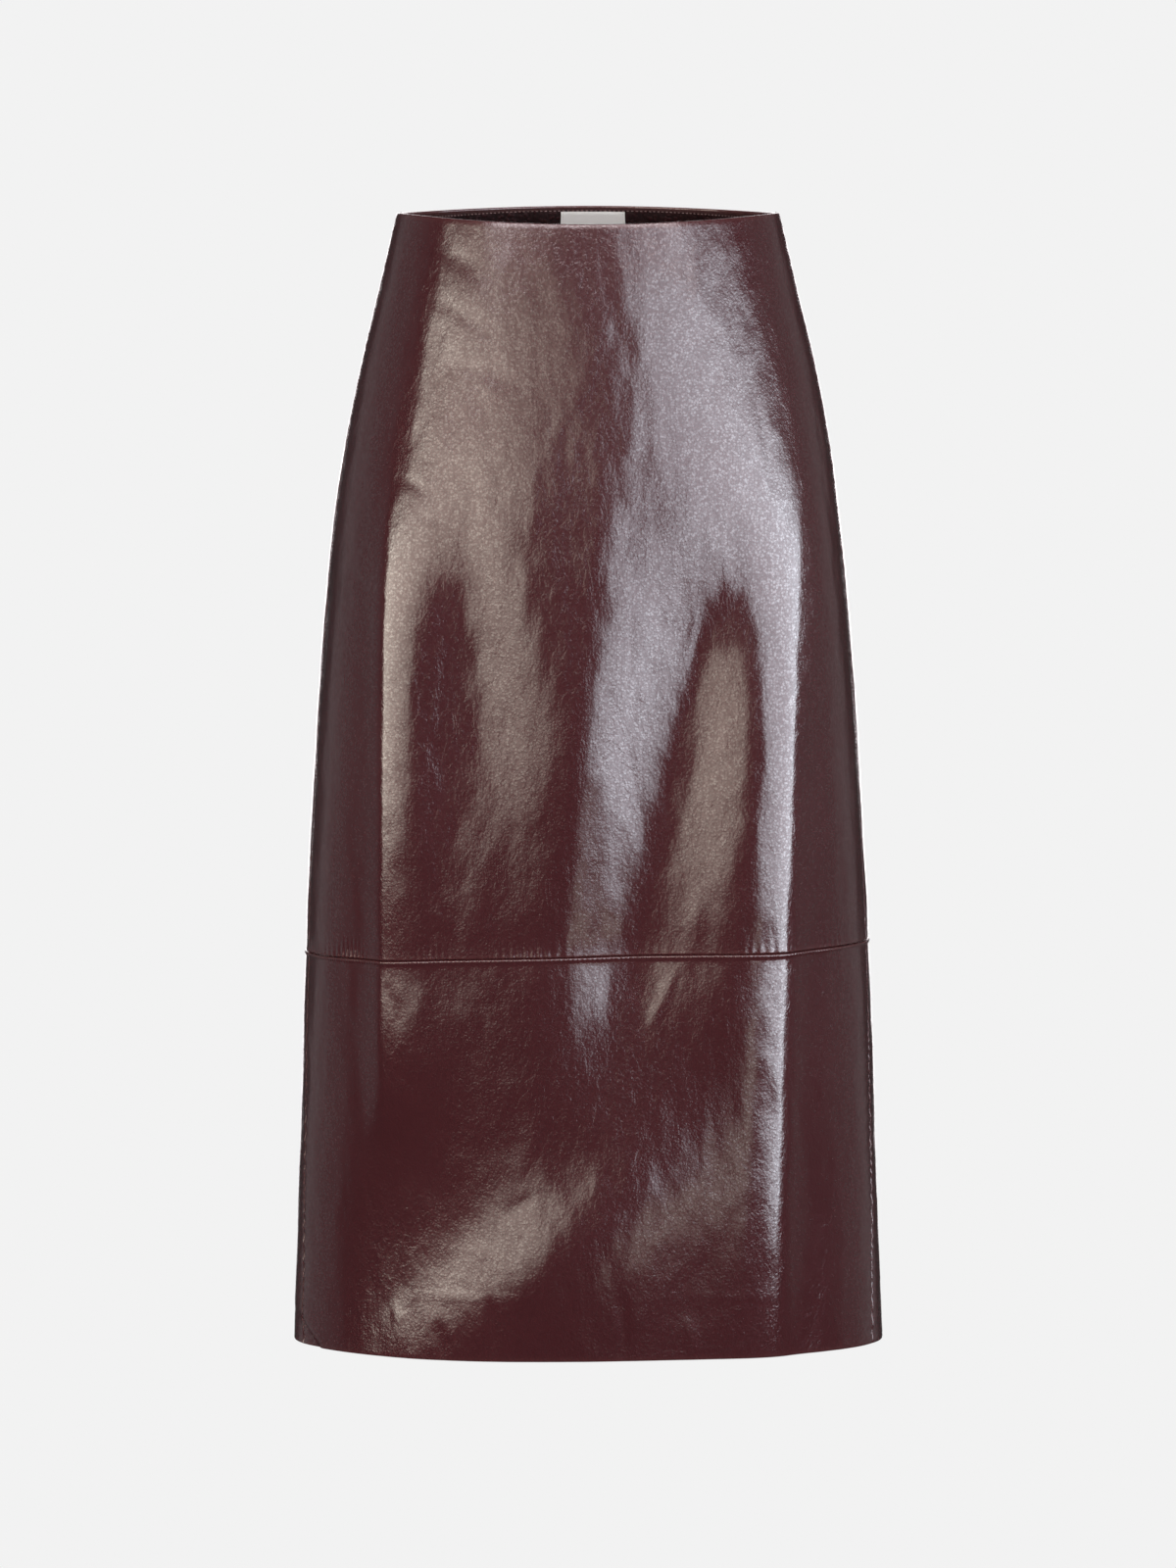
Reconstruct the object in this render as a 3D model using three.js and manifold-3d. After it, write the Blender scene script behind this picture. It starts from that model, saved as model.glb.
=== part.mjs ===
// A glossy leather midi skirt: close at the waist, round over the hips, easing out a little to the hem.
// It keeps the hollow form it has when worn. Millimetres, +Z up, the front faces -Y, +X is the wearer's left.
// The origin is the centre of the waist opening, level with its edge at the sides.
import * as THREE from "three";
import { mergeVertices } from "three/addons/utils/BufferGeometryUtils.js";
import Module from "manifold-3d";

// The skirt
const LEATHER = 1.8; // the leather with what backs it
const GAP = 0.3; // between two pieces at a seam, or lying on each other
const LENGTH = 739; // from the waist edge to the hem, down the side
const WAIST_DIP = 8; // the waist edge hangs this much lower at the front centre than at the sides
const WAIST_RISE = 5.4; // and stands this much higher at the back centre
const CROSS_SEAM = 478; // drop of the seam between the upper and the lower panels
const CROSS_SEAM_TILT = 4; // it is this much lower at the -X side, and higher at the +X side

// Level sections through the outside, by how far they lie below the waist: half the width, and the depths to
// the front and to the back. A square of 2 gives an ellipse, and more of it flattens the middle. The side
// seams lie in front of the widest line by the seam angle, in degrees.
const SECTIONS = [
  { drop: 0, halfWidth: 125, front: 86, back: 92, frontSquare: 2.3, backSquare: 2.3, seamAngle: 6 },
  { drop: 55, halfWidth: 137.8, front: 98, back: 106, frontSquare: 2.4, backSquare: 2.3, seamAngle: 6 },
  { drop: 110, halfWidth: 150.8, front: 107, back: 119, frontSquare: 2.6, backSquare: 2.3, seamAngle: 6.5 },
  { drop: 165, halfWidth: 160.5, front: 113, back: 126, frontSquare: 3.2, backSquare: 2.3, seamAngle: 7 },
  { drop: 220, halfWidth: 167.2, front: 115, back: 128, frontSquare: 4.2, backSquare: 2.3, seamAngle: 7.5 },
  { drop: 300, halfWidth: 174.2, front: 115.5, back: 126, frontSquare: 4.7, backSquare: 2.3, seamAngle: 8 },
  { drop: 390, halfWidth: 179.9, front: 115.5, back: 122, frontSquare: 4.5, backSquare: 2.3, seamAngle: 8.7 },
  { drop: 488, halfWidth: 185.1, front: 115.3, back: 119, frontSquare: 3.6, backSquare: 2.2, seamAngle: 9.7 },
  { drop: 620, halfWidth: 189.6, front: 112.5, back: 118, frontSquare: 2.7, backSquare: 2.1, seamAngle: 12 },
  { drop: 739, halfWidth: 193.8, front: 111, back: 118, frontSquare: 2.1, backSquare: 2.1, seamAngle: 15.7 },
];

// The leather is drawn in a little at the cross seam, and less and less above and below it.
const SEAM_TUCK = { depth: 0.5, above: 20, below: 40 };

// Soft folds, each running straight down its side from one place to another, as x across and drop down.
// Its reach is how far to the -X and to the +X side of its line it has faded to a third. The reach starts at
// the share given by opens and grows to the whole. The fold rises over the first fade and sinks over the
// second. A height below 0 is a trough.
const FRONT_FOLDS = [
  { from: [-123, 140], to: [-130, 660], reach: [12, 25], opens: 1, height: 6.8, fades: [130, 160] },
  { from: [-79, 150], to: [-53, 620], reach: [110, 77], opens: 0.07, height: -5.8, fades: [150, 150] },
  { from: [8, 90], to: [-26, 610], reach: [160, 34], opens: 1, height: 4.5, fades: [160, 130] },
  { from: [104, 150], to: [-6, 590], reach: [48, 56], opens: 0.6, height: -8.5, fades: [140, 130] },
  { from: [127, 190], to: [114, 860], reach: [40, 18], opens: 0.9, height: 8, fades: [160, 200] },
  { from: [114, 566], to: [-136, 782], reach: [52, 90], opens: 0.7, height: 10, fades: [200, 1] },
  { from: [-112, 480], to: [-116, 620], reach: [34, 30], opens: 1, height: 3, fades: [70, 60] },
];
const BACK_FOLDS = [
  { from: [-74, 270], to: [-40, 530], reach: [22, 30], opens: 0.6, height: -5, fades: [120, 90] },
  { from: [60, 250], to: [84, 540], reach: [30, 20], opens: 0.6, height: -4.5, fades: [120, 90] },
  { from: [4, 310], to: [14, 650], reach: [30, 26], opens: 1, height: 3.5, fades: [120, 120] },
  { from: [0, 560], to: [130, 780], reach: [40, 48], opens: 0.7, height: 6, fades: [120, 1] },
  { from: [-130, 460], to: [-76, 760], reach: [28, 22], opens: 0.8, height: -3.5, fades: [100, 60] },
];

// Panels: how many cells each has round the body and down it
const FRONT_CELLS_ROUND = 40;
const BACK_CELLS_ROUND = 34;
const FRONT_UPPER_ROWS = 24;
const BACK_UPPER_ROWS = 18;
const FRONT_LOWER_ROWS = 13;
const BACK_LOWER_ROWS = 10;

// Inside the back of the waist
const FACING = { thickness: 0.8, height: 34, belowEdge: 1.2, cellsRound: 28, rows: 2 };
const LABEL = { thickness: 0.5, width: 43, height: 18, belowEdge: 4, offCentre: 3.3, cellsRound: 6, rows: 1 };

// The concealed zip in the side seam at +X
const TAPE = { thickness: 0.8, halfWidth: 12, belowEdge: 2, length: 205, cellsRound: 4, rows: 10 };
const SLIDER = { width: 7.5, height: 10, thickness: 2.2, offTape: 0.6, drop: 8 };
const LUG = { inside: 1.9, thickness: 0.8, halfHeight: 1.9, reach: 3.8 };
const PIN = { radius: 0.8, up: 2.6, offSlider: 2.1, sides: 12 };
const PULL = { length: 20, halfWidth: 2.8, thickness: 1.2 };
const PULL_RING = { inside: 1.15, outside: 1.8, halfLength: 1.5, curveSegments: 12 };
const PULL_NECK = { halfWidth: 1.2, length: 3.6 };

const leather = new THREE.MeshStandardMaterial({ color: 0x45191f, roughness: 0.25, metalness: 0 });
const facingLeather = new THREE.MeshStandardMaterial({ color: 0x35191b, roughness: 0.6, metalness: 0 });
const labelCloth = new THREE.MeshStandardMaterial({ color: 0xc1bbb9, roughness: 0.85, metalness: 0 });
const tapeCloth = new THREE.MeshStandardMaterial({ color: 0x331418, roughness: 0.9, metalness: 0 });
const zipMetal = new THREE.MeshStandardMaterial({ color: 0x8a8580, roughness: 0.35, metalness: 1 });

// One column of the sections at a drop, as a smooth curve through the rows.
function sectionAt(drop, column) {
  const last = SECTIONS.length - 1;
  const held = THREE.MathUtils.clamp(drop, SECTIONS[0].drop, SECTIONS[last].drop);
  let row = 0;
  while (row < last - 1 && SECTIONS[row + 1].drop < held) {
    row += 1;
  }
  const slopeAt = (index) => {
    const before = SECTIONS[Math.max(index - 1, 0)];
    const after = SECTIONS[Math.min(index + 1, last)];
    return (after[column] - before[column]) / (after.drop - before.drop);
  };
  const span = SECTIONS[row + 1].drop - SECTIONS[row].drop;
  const t = (held - SECTIONS[row].drop) / span;
  const ease = t * t * (3 - 2 * t);
  const leave = t * (1 - t) * (1 - t) * span * slopeAt(row);
  const arrive = t * t * (1 - t) * span * slopeAt(row + 1);
  return THREE.MathUtils.lerp(SECTIONS[row][column], SECTIONS[row + 1][column], ease) + leave - arrive;
}

// A point of the smooth body, by its angle from +X round towards the front, in radians, and its drop.
function bodyPoint(angle, drop) {
  const across = Math.cos(angle);
  const side = Math.sin(angle) > 0 ? "front" : "back";
  const depth = sectionAt(drop, side) * (side === "front" ? -1 : 1);
  const fullness = 1 - Math.abs(across) ** sectionAt(drop, `${side}Square`);
  return new THREE.Vector3(sectionAt(drop, "halfWidth") * across, depth * Math.sqrt(fullness), -drop);
}

function outwards(angle, drop) {
  const turn = 0.01;
  const fall = 1;
  const round = bodyPoint(angle + turn, drop).sub(bodyPoint(angle - turn, drop));
  const down = bodyPoint(angle, drop + fall).sub(bodyPoint(angle, drop - fall));
  return round.cross(down).normalize();
}

// How far the folds and the seam's tuck lift the surface of one side at a place.
function foldLift(folds, x, drop) {
  const pastSeam = drop - CROSS_SEAM;
  const tuckReach = pastSeam < 0 ? SEAM_TUCK.above : SEAM_TUCK.below;
  let lift = -SEAM_TUCK.depth * Math.exp(-((pastSeam / tuckReach) ** 2));
  for (const fold of folds) {
    const start = new THREE.Vector2(...fold.from);
    const run = new THREE.Vector2(...fold.to).sub(start);
    const length = run.length();
    run.normalize();
    const place = new THREE.Vector2(x, drop).sub(start);
    const along = place.dot(run);
    const across = place.x * run.y - place.y * run.x;
    const opened = THREE.MathUtils.lerp(fold.opens, 1, THREE.MathUtils.clamp(along / length, 0, 1));
    const width = opened * fold.reach[across < 0 ? 0 : 1];
    const rise = THREE.MathUtils.smoothstep(along, 0, fold.fades[0]);
    const sink = THREE.MathUtils.smoothstep(length - along, 0, fold.fades[1]);
    lift += fold.height * rise * sink * Math.exp(-((across / width) ** 2));
  }
  return lift;
}

// A point of the leather, so far under the outside.
function leatherPoint(angle, drop, depth) {
  const point = bodyPoint(angle, drop);
  const folds = Math.sin(angle) > 0 ? FRONT_FOLDS : BACK_FOLDS;
  return point.addScaledVector(outwards(angle, drop), foldLift(folds, point.x, drop) - depth);
}

// The waist edge's drop: it dips at the front and rises at the back.
function waistDrop(angle) {
  const forward = Math.sin(angle);
  return forward * forward * (forward > 0 ? WAIST_DIP : -WAIST_RISE);
}

function crossSeamDrop(angle) {
  return CROSS_SEAM - CROSS_SEAM_TILT * Math.cos(angle);
}

// The angle of the side seam at +X or -X, moved so many millimetres along the surface towards the front.
function seamAngle(drop, sideways, towardsFront) {
  const atSeam = THREE.MathUtils.degToRad(sectionAt(drop, "seamAngle"));
  const fromSide = atSeam + towardsFront / sectionAt(drop, "front");
  return sideways > 0 ? fromSide : Math.PI - fromSide;
}

// A closed wall over a patch of the body, between two depths under the outside.
// angleAt gives the angle at a share of the way round and a drop, topAt and bottomAt the drops at an angle.
function wallGeometry({ angleAt, topAt, bottomAt, columns, rows, under, thickness }) {
  const positions = [];
  const index = [];
  const stride = columns + 1;
  const layer = stride * (rows + 1);
  for (const depth of [under, under + thickness]) {
    for (let row = 0; row <= rows; row += 1) {
      for (let column = 0; column <= columns; column += 1) {
        const share = column / columns;
        const nearby = angleAt(share, LENGTH / 2);
        const drop = THREE.MathUtils.lerp(topAt(nearby), bottomAt(nearby), row / rows);
        positions.push(...leatherPoint(angleAt(share, drop), drop, depth).toArray());
      }
    }
  }
  const quad = (a, b, c, d) => index.push(a, b, c, a, c, d);
  const at = (column, row) => row * stride + column;
  for (let row = 0; row < rows; row += 1) {
    for (let column = 0; column < columns; column += 1) {
      const corners = [at(column, row), at(column + 1, row), at(column + 1, row + 1), at(column, row + 1)];
      quad(...corners);
      quad(...corners.reverse().map((corner) => corner + layer));
    }
  }
  const rim = (from, to) => quad(to, from, from + layer, to + layer);
  for (let column = 0; column < columns; column += 1) {
    rim(at(column, 0), at(column + 1, 0));
    rim(at(column + 1, rows), at(column, rows));
  }
  for (let row = 0; row < rows; row += 1) {
    rim(at(columns, row), at(columns, row + 1));
    rim(at(0, row + 1), at(0, row));
  }
  const geometry = new THREE.BufferGeometry();
  geometry.setAttribute("position", new THREE.Float32BufferAttribute(positions, 3));
  geometry.setIndex(index);
  geometry.computeVertexNormals();
  return geometry;
}

function frontAngle(share, drop) {
  return THREE.MathUtils.lerp(seamAngle(drop, 1, GAP / 2), seamAngle(drop, -1, GAP / 2), share);
}

function backAngle(share, drop) {
  const past = 2 * Math.PI + seamAngle(drop, 1, -GAP / 2);
  return THREE.MathUtils.lerp(seamAngle(drop, -1, -GAP / 2), past, share);
}

const aboveCrossSeam = (angle) => crossSeamDrop(angle) - GAP / 2;
const belowCrossSeam = (angle) => crossSeamDrop(angle) + GAP / 2;
const hemDrop = () => LENGTH;

function panel(name, angleAt, columns, topAt, bottomAt, rows) {
  const geometry = wallGeometry({ angleAt, topAt, bottomAt, columns, rows, under: 0, thickness: LEATHER });
  return named(name, geometry, leather);
}

function named(name, geometry, material) {
  const mesh = new THREE.Mesh(geometry, material);
  mesh.name = name;
  return mesh;
}

// The facing runs inside the back from the seam at -X to the zip's tape.
function backWaistFacing() {
  const end = (drop) => 2 * Math.PI + seamAngle(drop, 1, -TAPE.halfWidth - GAP);
  const geometry = wallGeometry({
    angleAt: (share, drop) => THREE.MathUtils.lerp(seamAngle(drop, -1, -GAP), end(drop), share),
    topAt: (angle) => waistDrop(angle) + FACING.belowEdge,
    bottomAt: (angle) => waistDrop(angle) + FACING.height,
    columns: FACING.cellsRound,
    rows: FACING.rows,
    under: LEATHER + GAP,
    thickness: FACING.thickness,
  });
  return named("back_waist_facing", geometry, facingLeather);
}

// The angle of a place on the back of the waist, so far across.
function backWaistAngle(x) {
  return 1.5 * Math.PI + Math.asin(x / SECTIONS[0].halfWidth);
}

function waistLabel() {
  const left = LABEL.offCentre - LABEL.width / 2;
  const geometry = wallGeometry({
    angleAt: (share) => backWaistAngle(left + share * LABEL.width),
    topAt: (angle) => waistDrop(angle) + LABEL.belowEdge,
    bottomAt: (angle) => waistDrop(angle) + LABEL.belowEdge + LABEL.height,
    columns: LABEL.cellsRound,
    rows: LABEL.rows,
    under: LEATHER + GAP + FACING.thickness + GAP,
    thickness: LABEL.thickness,
  });
  return named("waist_label", geometry, labelCloth);
}

function sideZipTape() {
  const across = (share) => THREE.MathUtils.lerp(-TAPE.halfWidth, TAPE.halfWidth, share);
  const geometry = wallGeometry({
    angleAt: (share, drop) => seamAngle(drop, 1, across(share)),
    topAt: () => TAPE.belowEdge,
    bottomAt: () => TAPE.length,
    columns: TAPE.cellsRound,
    rows: TAPE.rows,
    under: LEATHER + GAP,
    thickness: TAPE.thickness,
  });
  return named("side_zip_tape", geometry, tapeCloth);
}

const wasm = await Module();
wasm.setup();

function toSolid(geometry) {
  const bare = geometry.clone();
  bare.deleteAttribute("normal");
  bare.deleteAttribute("uv");
  const merged = mergeVertices(bare, 1e-4);
  const vertProperties = new Float32Array(merged.attributes.position.array);
  const triVerts = new Uint32Array(merged.index.array);
  return new wasm.Manifold(new wasm.Mesh({ numProp: 3, vertProperties, triVerts }));
}

function fromSolid(solid) {
  const mesh = solid.getMesh();
  const geometry = new THREE.BufferGeometry();
  geometry.setAttribute("position", new THREE.BufferAttribute(mesh.vertProperties, 3));
  geometry.setIndex(new THREE.BufferAttribute(mesh.triVerts, 1));
  geometry.computeVertexNormals();
  return geometry;
}

function join(geometries) {
  return fromSolid(geometries.map(toSolid).reduce((whole, next) => whole.add(next)));
}

function plateGeometry(outline, depth, curveSegments) {
  return new THREE.ExtrudeGeometry(outline, { depth, bevelEnabled: false, curveSegments });
}

// The zip head's frame: its origin on the tape's inner face, x points to the front, y up the wall, z inwards.
function zipHeadFrame() {
  const angle = seamAngle(SLIDER.drop, 1, 0);
  const inwards = outwards(angle, SLIDER.drop).negate();
  const toFront = new THREE.Vector3(0, 0, 1).cross(inwards).normalize();
  const upWall = inwards.clone().cross(toFront);
  const origin = leatherPoint(angle, SLIDER.drop, LEATHER + GAP + TAPE.thickness);
  return new THREE.Matrix4().makeBasis(toFront, upWall, inwards).setPosition(origin);
}

const SLIDER_FACE = SLIDER.offTape + SLIDER.thickness;
const PIN_PLACE = new THREE.Vector3(0, PIN.up, SLIDER_FACE + PIN.offSlider);

// A flat plate that narrows downwards, with two lugs and the pin that holds the pull.
function zipSlider() {
  const top = SLIDER.height / 2;
  const shoulder = SLIDER.width / 2;
  const foot = shoulder * 0.72;
  const outline = new THREE.Shape();
  outline.moveTo(-foot, -top);
  outline.lineTo(foot, -top);
  outline.lineTo(shoulder, top * 0.3);
  outline.quadraticCurveTo(shoulder, top, 0, top);
  outline.quadraticCurveTo(-shoulder, top, -shoulder, top * 0.3);
  outline.closePath();
  const plate = plateGeometry(outline, SLIDER.thickness, 5);
  plate.translate(0, 0, SLIDER.offTape);
  const sunk = 0.4;
  const lugDepth = LUG.reach + sunk;
  const lugs = [-1, 1].map((side) => {
    const lug = new THREE.BoxGeometry(LUG.thickness, 2 * LUG.halfHeight, lugDepth);
    return lug.translate(side * (LUG.inside + LUG.thickness / 2), PIN.up, SLIDER_FACE - sunk + lugDepth / 2);
  });
  const pinLength = 2 * (LUG.inside + LUG.thickness * 0.6);
  const pin = new THREE.CylinderGeometry(PIN.radius, PIN.radius, pinLength, PIN.sides);
  pin.rotateZ(Math.PI / 2).translate(...PIN_PLACE.toArray());
  const slider = named("zip_slider", join([plate, ...lugs, pin]), zipMetal);
  slider.applyMatrix4(zipHeadFrame());
  return slider;
}

// A drop-shaped plate under a ring that turns on the pin. It hangs straight down inside the waist.
function zipPull() {
  const ringOutline = new THREE.Shape().absarc(0, 0, PULL_RING.outside, 0, 2 * Math.PI);
  ringOutline.holes.push(new THREE.Path().absarc(0, 0, PULL_RING.inside, 0, 2 * Math.PI));
  const ringLength = 2 * PULL_RING.halfLength;
  const ring = plateGeometry(ringOutline, ringLength, PULL_RING.curveSegments);
  ring.translate(0, 0, -PULL_RING.halfLength).rotateY(Math.PI / 2);
  const neckTop = -(PULL_RING.inside + PULL_RING.outside) / 2;
  const neckFoot = neckTop - PULL_NECK.length;
  const bulbTop = neckFoot - 4;
  const bulbFoot = -PULL.length + PULL.halfWidth;
  const drop = new THREE.Shape();
  drop.moveTo(PULL_NECK.halfWidth, neckTop);
  drop.lineTo(-PULL_NECK.halfWidth, neckTop);
  drop.lineTo(-PULL_NECK.halfWidth, neckFoot);
  drop.quadraticCurveTo(-PULL_NECK.halfWidth, bulbTop, -PULL.halfWidth, bulbFoot);
  drop.absarc(0, bulbFoot, PULL.halfWidth, Math.PI, 2 * Math.PI);
  drop.quadraticCurveTo(PULL_NECK.halfWidth, bulbTop, PULL_NECK.halfWidth, neckFoot);
  drop.closePath();
  const plate = plateGeometry(drop, PULL.thickness, 6);
  plate.translate(0, 0, -PULL.thickness / 2);
  const pull = named("zip_pull", join([ring, plate]), zipMetal);
  const head = zipHeadFrame();
  const pinAxis = new THREE.Vector3().setFromMatrixColumn(head, 0);
  const up = new THREE.Vector3(0, 0, 1);
  pull.applyMatrix4(new THREE.Matrix4().makeBasis(pinAxis, up, pinAxis.clone().cross(up)));
  pull.position.copy(PIN_PLACE.clone().applyMatrix4(head));
  return pull;
}

const skirt = new THREE.Group();
skirt.add(
  panel("front_upper_panel", frontAngle, FRONT_CELLS_ROUND, waistDrop, aboveCrossSeam, FRONT_UPPER_ROWS),
  panel("front_lower_panel", frontAngle, FRONT_CELLS_ROUND, belowCrossSeam, hemDrop, FRONT_LOWER_ROWS),
  panel("back_upper_panel", backAngle, BACK_CELLS_ROUND, waistDrop, aboveCrossSeam, BACK_UPPER_ROWS),
  panel("back_lower_panel", backAngle, BACK_CELLS_ROUND, belowCrossSeam, hemDrop, BACK_LOWER_ROWS),
  backWaistFacing(),
  waistLabel(),
  sideZipTape(),
  zipSlider(),
  zipPull(),
);

export default skirt;
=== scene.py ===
# %% [markdown]
# # A glossy leather midi skirt
# The real skirt is a front and a back in thick, polished oxblood leather, each cut across at the knee. It is
# shown filled out with nobody in it, so it is a hollow tube that is close at the waist and eases out to the hem.
# This lesson rebuilds it round a fixed frame of plain solids: the frame gives sizes and places, and every cell
# below adds a surface, a seam or a finish to it.

# %% Load the frame
import math

import bmesh
import bpy
import numpy as np
from mathutils import Matrix, Vector, noise


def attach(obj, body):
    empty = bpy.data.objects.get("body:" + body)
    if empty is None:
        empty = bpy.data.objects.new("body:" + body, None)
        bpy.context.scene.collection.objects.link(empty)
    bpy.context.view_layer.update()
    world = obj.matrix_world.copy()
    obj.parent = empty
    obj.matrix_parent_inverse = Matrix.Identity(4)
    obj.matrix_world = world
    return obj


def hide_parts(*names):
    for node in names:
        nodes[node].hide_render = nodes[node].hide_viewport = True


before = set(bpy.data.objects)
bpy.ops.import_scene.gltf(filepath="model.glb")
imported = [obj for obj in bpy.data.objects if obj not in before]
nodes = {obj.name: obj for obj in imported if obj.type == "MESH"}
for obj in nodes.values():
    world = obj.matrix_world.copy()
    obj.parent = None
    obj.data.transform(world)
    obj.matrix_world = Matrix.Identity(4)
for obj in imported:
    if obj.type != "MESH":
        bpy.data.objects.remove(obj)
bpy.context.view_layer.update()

# %% [markdown]
# ## The camera
# A fashion photograph of a skirt is taken from far away with a long lens, so that it hardly tapers. The hem and
# the waist edge bow a little, which shows that the camera looks down by a few degrees.

# %% Camera
VIEW_DISTANCE = 5.0
VIEW_PITCH = math.radians(3.8)
VIEW_CENTRE = Vector((0, 0, -0.37375))

camera_data = bpy.data.cameras.new("front_view")
camera_data.lens = 175
camera_data.sensor_width = 36
camera = bpy.data.objects.new("front_view", camera_data)
bpy.context.scene.collection.objects.link(camera)
camera.location = VIEW_CENTRE + VIEW_DISTANCE * Vector((0, -math.cos(VIEW_PITCH), math.sin(VIEW_PITCH)))
camera.rotation_euler = (math.pi / 2 - VIEW_PITCH, 0, 0)
bpy.context.scene.camera = camera
print("camera at", tuple(camera.location))

# %% [markdown]
# ## The skirt's form
# A skirt is a stack of level sections. Each one is a rounded shape with its own half width and its own depth to
# the front and to the back. A square of 2 gives an ellipse, and more of it flattens the middle, as the thighs
# flatten the front. A few rows are enough, because a smooth curve runs through them. All sizes are in metres,
# and a drop is how far a place lies below the waist.

# %% Sizes and sections
LEATHER = 0.0018
LENGTH = 0.739
WAIST_DIP, WAIST_RISE = 0.008, 0.0054
CROSS_SEAM, CROSS_SEAM_TILT = 0.478, 0.004
SEAM_GAP = 0.0003

SECTION_COLUMNS = ("drop", "half_width", "front", "back", "front_square", "back_square", "seam_degrees")
SECTIONS = np.array([
    (0.000, 0.1250, 0.0860, 0.0920, 2.3, 2.3, 6.0),
    (0.055, 0.1378, 0.0980, 0.1060, 2.4, 2.3, 6.0),
    (0.110, 0.1508, 0.1070, 0.1190, 2.6, 2.3, 6.5),
    (0.165, 0.1605, 0.1130, 0.1260, 3.2, 2.3, 7.0),
    (0.220, 0.1672, 0.1150, 0.1280, 4.2, 2.3, 7.5),
    (0.300, 0.1742, 0.1155, 0.1260, 4.7, 2.3, 8.0),
    (0.390, 0.1799, 0.1155, 0.1220, 4.5, 2.3, 8.7),
    (0.488, 0.1851, 0.1153, 0.1190, 3.6, 2.2, 9.7),
    (0.620, 0.1896, 0.1125, 0.1180, 2.7, 2.1, 12.0),
    (0.739, 0.1938, 0.1110, 0.1180, 2.1, 2.1, 15.7),
])


def section_at(drop, column):
    """One column of the sections at each drop, on a smooth curve through the rows."""
    drops = SECTIONS[:, 0]
    values = SECTIONS[:, SECTION_COLUMNS.index(column)]
    held = np.clip(drop, drops[0], drops[-1])
    row = np.clip(np.searchsorted(drops, held, side="right") - 1, 0, len(drops) - 2)
    index = np.arange(len(drops))
    before, after = np.maximum(index - 1, 0), np.minimum(index + 1, len(drops) - 1)
    slopes = (values[after] - values[before]) / (drops[after] - drops[before])
    span = drops[row + 1] - drops[row]
    t = (held - drops[row]) / span
    ease = t * t * (3 - 2 * t)
    leave = t * (1 - t) ** 2 * span * slopes[row]
    arrive = t * t * (1 - t) * span * slopes[row + 1]
    return values[row] + (values[row + 1] - values[row]) * ease + leave - arrive


def body_points(angle, drop):
    """Points of the smooth body. The angle runs from +X round towards the front, which faces -Y."""
    across, forward = np.cos(angle), np.sin(angle)
    square = np.where(forward > 0, section_at(drop, "front_square"), section_at(drop, "back_square"))
    depth = np.where(forward > 0, -section_at(drop, "front"), section_at(drop, "back"))
    fullness = np.clip(1 - np.abs(across) ** square, 0, 1)
    x = section_at(drop, "half_width") * across
    return np.stack([x, depth * np.sqrt(fullness), -drop + 0 * x], axis=-1)


def outwards(angle, drop):
    turn, fall = 0.01, 0.001
    round_the_body = body_points(angle + turn, drop) - body_points(angle - turn, drop)
    down_the_body = body_points(angle, drop + fall) - body_points(angle, drop - fall)
    normal = np.cross(round_the_body, down_the_body)
    return normal / np.linalg.norm(normal, axis=-1, keepdims=True)


def waist_drop(angle):
    forward = np.sin(angle)
    return forward ** 2 * np.where(forward > 0, WAIST_DIP, -WAIST_RISE)


def cross_seam_drop(angle):
    return CROSS_SEAM - CROSS_SEAM_TILT * np.cos(angle)


def seam_angle(drop, side):
    """The angle of the side seam at +X (side 1) or at -X (side -1)."""
    from_side = np.radians(section_at(drop, "seam_degrees"))
    return from_side if side > 0 else math.pi - from_side


print("hips", 2 * section_at(0.22, "half_width"), "wide")

# %% [markdown]
# ## The large folds
# Thick leather doesn't drape in many small folds. It breaks into a few long, soft ones that start at the hips
# and run to the cross seam. Each is a ridge or a trough along a straight line, and fades out at both ends. Its
# reach is how far to its left and right it has faded to a third, and it opens from a narrow start to that
# reach. The leather is also drawn in a little along the cross seam. They are the same folds as in the frame.

# %% Folds
SEAM_TUCK, TUCK_ABOVE, TUCK_BELOW = 0.0005, 0.020, 0.040

FOLD_COLUMNS = (
    "from_x", "from_drop", "to_x", "to_drop", "reach_minus", "reach_plus", "opens", "height", "fade_in", "fade_out",
)
FRONT_FOLDS = [
    (-0.123, 0.140, -0.130, 0.660, 0.012, 0.025, 1, 0.0068, 0.130, 0.160),
    (-0.079, 0.150, -0.053, 0.620, 0.110, 0.077, 0.07, -0.0058, 0.150, 0.150),
    (0.008, 0.090, -0.026, 0.610, 0.160, 0.034, 1, 0.0045, 0.160, 0.130),
    (0.104, 0.150, -0.006, 0.590, 0.048, 0.056, 0.6, -0.0085, 0.140, 0.130),
    (0.127, 0.190, 0.114, 0.860, 0.040, 0.018, 0.9, 0.0080, 0.160, 0.200),
    (0.114, 0.566, -0.136, 0.782, 0.052, 0.090, 0.7, 0.0100, 0.200, 0.001),
    (-0.112, 0.480, -0.116, 0.620, 0.034, 0.030, 1, 0.0030, 0.070, 0.060),
]
BACK_FOLDS = [
    (-0.074, 0.270, -0.040, 0.530, 0.022, 0.030, 0.6, -0.0050, 0.120, 0.090),
    (0.060, 0.250, 0.084, 0.540, 0.030, 0.020, 0.6, -0.0045, 0.120, 0.090),
    (0.004, 0.310, 0.014, 0.650, 0.030, 0.026, 1, 0.0035, 0.120, 0.120),
    (0.000, 0.560, 0.130, 0.780, 0.040, 0.048, 0.7, 0.0060, 0.120, 0.001),
    (-0.130, 0.460, -0.076, 0.760, 0.028, 0.022, 0.8, -0.0035, 0.100, 0.060),
]


def smooth(t):
    t = np.clip(t, 0, 1)
    return t * t * (3 - 2 * t)


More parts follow.
